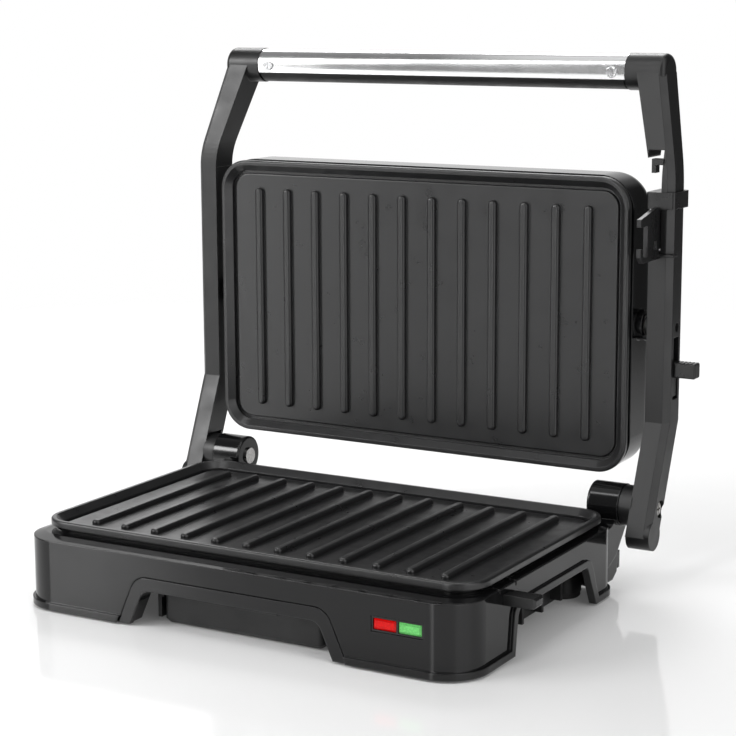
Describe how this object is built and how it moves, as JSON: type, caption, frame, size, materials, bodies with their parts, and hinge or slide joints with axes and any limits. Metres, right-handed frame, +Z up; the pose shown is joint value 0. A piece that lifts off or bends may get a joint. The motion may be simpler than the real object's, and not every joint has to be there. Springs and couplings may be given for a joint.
{
  "type": "panini press",
  "caption": "Contact grill with ribbed upper and lower plates, a floating lid on two bent arms with a bar handle, side lock, flat-opening release, drip tray and indicator lenses.",
  "frame": {"origin": "on the table under the centre of the lower cooking plate", "axes": "+X to the object's right as seen from the front (the side with the lock tab and release knob), +Y to the back where the hinges are, +Z up"},
  "size_m": [0.2974, 0.2212, 0.27],
  "materials": {
    "casing_gloss": "high gloss black",
    "housing_gloss": "gloss black",
    "trim_gloss": "gloss black",
    "arm_satin": "satin black",
    "chassis_black": "fine texture",
    "fitting_black": "semi-gloss black",
    "bezel_black": "gloss",
    "foot_rubber": "matte",
    "plate_coating": "satin non-stick coating on die-cast aluminium",
    "handle_polished": "polished stainless steel",
    "panel_brushed": "brushed",
    "screw_steel": "plain",
    "screw_bright": "bright",
    "pin_steel": "ground",
    "heater_steel": "heat-tinted",
    "shield_steel": "aluminised",
    "thermostat_ceramic": "unglazed",
    "fuse_sleeve": "woven sleeve",
    "lead_insulation": "silicone",
    "bush_nylon": "moulded",
    "lens_red": "moulded, translucent",
    "lens_green": "moulded, translucent",
    "lamp_glass": "clear",
    "board_green": "solder mask"
  },
  "bodies": {
    "base": {"base_shell": "casing_gloss", "hinge_bracket_left": "casing_gloss", "hinge_bracket_right": "casing_gloss", "bracket_screws": "screw_steel", "lock_tab": "fitting_black", "front_arch_trim": "trim_gloss", "base_pan": "chassis_black", "rubber_feet": "foot_rubber", "base_screws": "screw_steel", "cord_gland": "foot_rubber", "lens_bezel": "bezel_black", "red_lens": "lens_red", "green_lens": "lens_green", "lamp_board": "board_green", "neon_lamps": "lamp_glass", "terminal_block": "thermostat_ceramic", "base_lead": "lead_insulation", "thermal_fuse": "fuse_sleeve", "lower_grill_plate": "plate_coating", "lower_heating_element": "heater_steel", "lower_heat_shield": "shield_steel", "lower_thermostat": "thermostat_ceramic", "lower_plate_screws": "screw_steel", "hinge_pin_left": "pin_steel", "hinge_pin_right": "pin_steel", "hinge_screws": "screw_steel", "detent_disc": "pin_steel"},
    "drip_tray": {"drip_tray": "chassis_black"},
    "arms": {"left_arm": "arm_satin", "right_arm": "arm_satin", "left_arm_cover": "arm_satin", "right_arm_cover": "arm_satin", "handle_tube": "handle_polished", "handle_core": "chassis_black", "handle_screws": "screw_bright", "hinge_washers": "screw_steel", "float_pins": "pin_steel", "arm_lead": "lead_insulation", "release_spring": "pin_steel"},
    "release_lever": {"release_knob": "fitting_black", "release_rod": "pin_steel"},
    "lock_slider": {"lock_slider": "fitting_black", "lock_spring": "pin_steel"},
    "upper_press": {"upper_housing": "housing_gloss", "back_panel": "panel_brushed", "upper_grill_plate": "plate_coating", "upper_heating_element": "heater_steel", "upper_heat_shield": "shield_steel", "upper_thermostat": "thermostat_ceramic", "upper_plate_screws": "screw_steel", "float_bushes": "bush_nylon"}
  },
  "joints": [
    {"name": "main_hinge", "type": "hinge", "parent": "base", "child": "arms", "pos_m": [0, 0.0918, 0.0424], "axis": [1, 0, 0], "range_deg": [-90, 90]},
    {"name": "float_hinge", "type": "hinge", "parent": "arms", "child": "upper_press", "pos_m": [0, 0.1085, 0.1334], "axis": [-1, 0, 0], "range_deg": [-12, 0]},
    {"name": "lock_slide", "type": "slide", "parent": "arms", "child": "lock_slider", "axis": [0, 0, 1], "range_m": [0, 0.005]},
    {"name": "release_slide", "type": "slide", "parent": "arms", "child": "release_lever", "axis": [0, 0, 1], "range_m": [0, 0.011], "stiffness_N_per_m": 150, "springref_m": -0.004, "deforming": ["release_spring"]},
    {"name": "tray_slide", "type": "slide", "parent": "base", "child": "drip_tray", "axis": [0, -1, 0], "range_m": [0, 0.08]}
  ]
}
